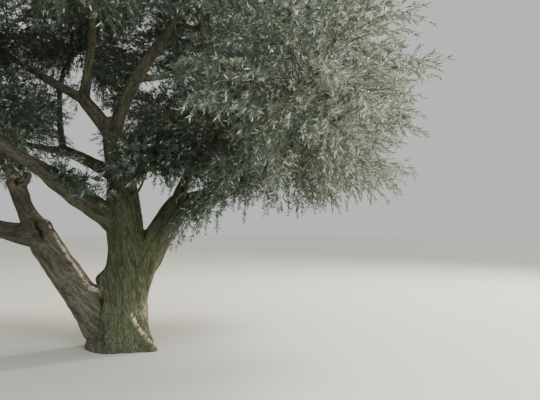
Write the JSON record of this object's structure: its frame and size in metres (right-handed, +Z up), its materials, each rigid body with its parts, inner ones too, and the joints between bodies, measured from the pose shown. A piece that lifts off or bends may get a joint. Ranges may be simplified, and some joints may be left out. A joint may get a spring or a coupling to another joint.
{
  "type": "olive tree",
  "caption": "Old open-grown olive tree: a fluted trunk that forks low into leaning stems, with curved boughs that carry a broad, rounded crown of small narrow leaves.",
  "frame": {"origin": "middle of the flat cut under the trunk, at ground level", "axes": "+Z up, +X to the side of the right-hand stem as seen from the front, +Y away from the front"},
  "size_m": [8.037, 7.4681, 6.2413],
  "materials": {
    "bark": "rough fissured bark",
    "foliage": "grey-green leaves"
  },
  "bodies": {
    "root": {"back_left_bough": "bark", "back_limb": "bark", "centre_front_limb": "bark", "centre_left_bough": "bark", "centre_right_bough": "bark", "far_left_limb": "bark", "foliage_back": "foliage", "foliage_centre_front": "foliage", "foliage_front": "foliage", "foliage_left": "foliage", "foliage_left_back": "foliage", "foliage_left_front": "foliage", "foliage_left_middle": "foliage", "foliage_right": "foliage", "foliage_right_back": "foliage", "foliage_right_front": "foliage", "foliage_right_middle": "foliage", "foliage_top": "foliage", "foliage_top_right": "foliage", "foliage_upper_left": "foliage", "foliage_upper_left_back": "foliage", "foliage_upper_left_front": "foliage", "foliage_upper_right": "foliage", "foliage_upper_right_back": "foliage", "foliage_upper_right_front": "foliage", "front_limb": "bark", "left_back_limb": "bark", "left_bough": "bark", "left_front_limb": "bark", "left_riser": "bark", "left_side_limb": "bark", "left_stem": "bark", "left_stub": "bark", "left_top_limb": "bark", "right_back_limb": "bark", "right_front_limb": "bark", "right_out_limb": "bark", "right_stem": "bark", "right_up_limb": "bark", "top_right_limb": "bark", "trunk": "bark", "upper_left_front_limb": "bark", "upper_right_back_limb": "bark", "upper_right_front_limb": "bark", "upper_right_limb": "bark", "upright_limb": "bark"}
  },
  "joints": []
}
